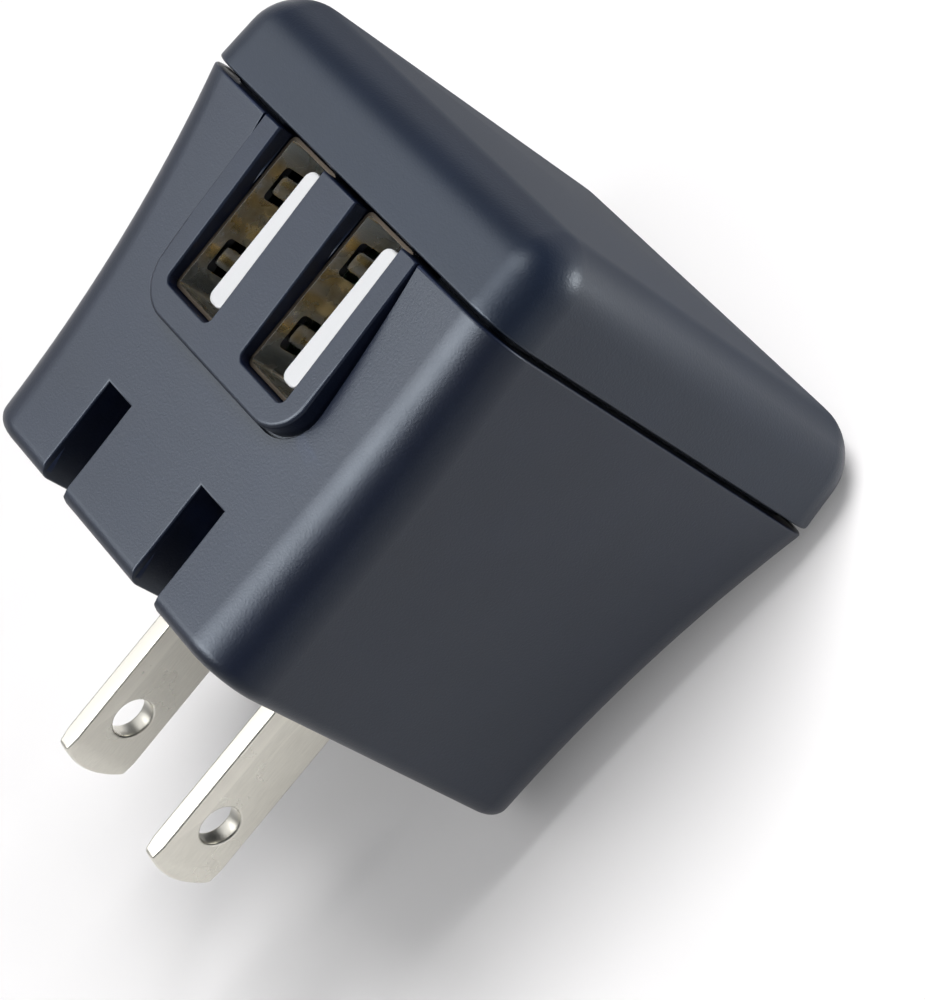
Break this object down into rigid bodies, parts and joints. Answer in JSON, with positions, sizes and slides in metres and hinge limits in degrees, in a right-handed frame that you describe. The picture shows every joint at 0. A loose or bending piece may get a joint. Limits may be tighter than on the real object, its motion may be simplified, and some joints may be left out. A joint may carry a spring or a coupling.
{
  "type": "usb wall charger",
  "caption": "Compact USB wall charger: flared plastic body, end cap, raised port panel with open USB-A ports, and blades that fold into slots in the outlet face.",
  "frame": {"origin": "bottom centre of the bounding box with the blades unfolded: the charger lies on the face opposite the ports", "axes": "+Z out of the USB port panel, +Y along the plug axis towards the blades and the wall, -Y out of the end cap, +X across the charger; in a wall outlet with the ports up this is the working attitude"},
  "size_m": [0.0378, 0.0541, 0.0393],
  "materials": {
    "housing_plastic": "fine satin grain",
    "blade_nickel": "satin nickel plate",
    "black_moulding": "satin",
    "chip_package": "matte",
    "spring_bronze": "rolled strip",
    "spring_steel": "rolled strip",
    "port_shell_metal": "bright plated",
    "port_insulator": "satin",
    "contact_gold": "gold flash",
    "board_laminate": "solder mask",
    "ferrite": "sintered",
    "taped_winding": "polyester tape",
    "capacitor_sleeve": "printed sleeve without print",
    "blue_ceramic": "dipped coating",
    "resistor_coating": "cement coating",
    "insulating_film": "film",
    "red_wire": "insulated wire",
    "black_wire": "insulated wire"
  },
  "bodies": {
    "charger_body": {"blade_contact_left": "spring_bronze", "blade_contact_right": "spring_bronze", "bridge_rectifier": "chip_package", "detent_spring": "spring_steel", "end_cap": "housing_plastic", "filter_choke": "ferrite", "fusible_resistor": "resistor_coating", "input_capacitor_left": "capacitor_sleeve", "input_capacitor_right": "capacitor_sleeve", "insulation_sheet": "insulating_film", "link_pin_negative": "contact_gold", "link_pin_positive": "contact_gold", "live_wire": "red_wire", "main_board": "board_laminate", "main_housing": "housing_plastic", "neutral_wire": "black_wire", "optocoupler": "chip_package", "output_capacitor_left": "capacitor_sleeve", "output_capacitor_right": "capacitor_sleeve", "output_diode": "chip_package", "port_controller": "chip_package", "primary_controller": "chip_package", "rocker_retainer": "black_moulding", "safety_capacitor": "blue_ceramic", "transformer_bobbin": "black_moulding", "transformer_core_left": "ferrite", "transformer_core_right": "ferrite", "transformer_winding": "taped_winding", "usb_board": "board_laminate", "usb_contact_left_1": "contact_gold", "usb_contact_left_2": "contact_gold", "usb_contact_left_3": "contact_gold", "usb_contact_left_4": "contact_gold", "usb_contact_right_1": "contact_gold", "usb_contact_right_2": "contact_gold", "usb_contact_right_3": "contact_gold", "usb_contact_right_4": "contact_gold", "usb_shell_left": "port_shell_metal", "usb_shell_right": "port_shell_metal", "usb_tongue_left": "port_insulator", "usb_tongue_right": "port_insulator"},
    "folding_blades": {"blade_left": "blade_nickel", "blade_right": "blade_nickel", "blade_rocker": "black_moulding"}
  },
  "joints": [
    {"name": "blade_fold", "type": "hinge", "parent": "charger_body", "child": "folding_blades", "pos_m": [0, 0.00647, 0.01619], "axis": [1, 0, 0], "range_deg": [0, 90]}
  ]
}
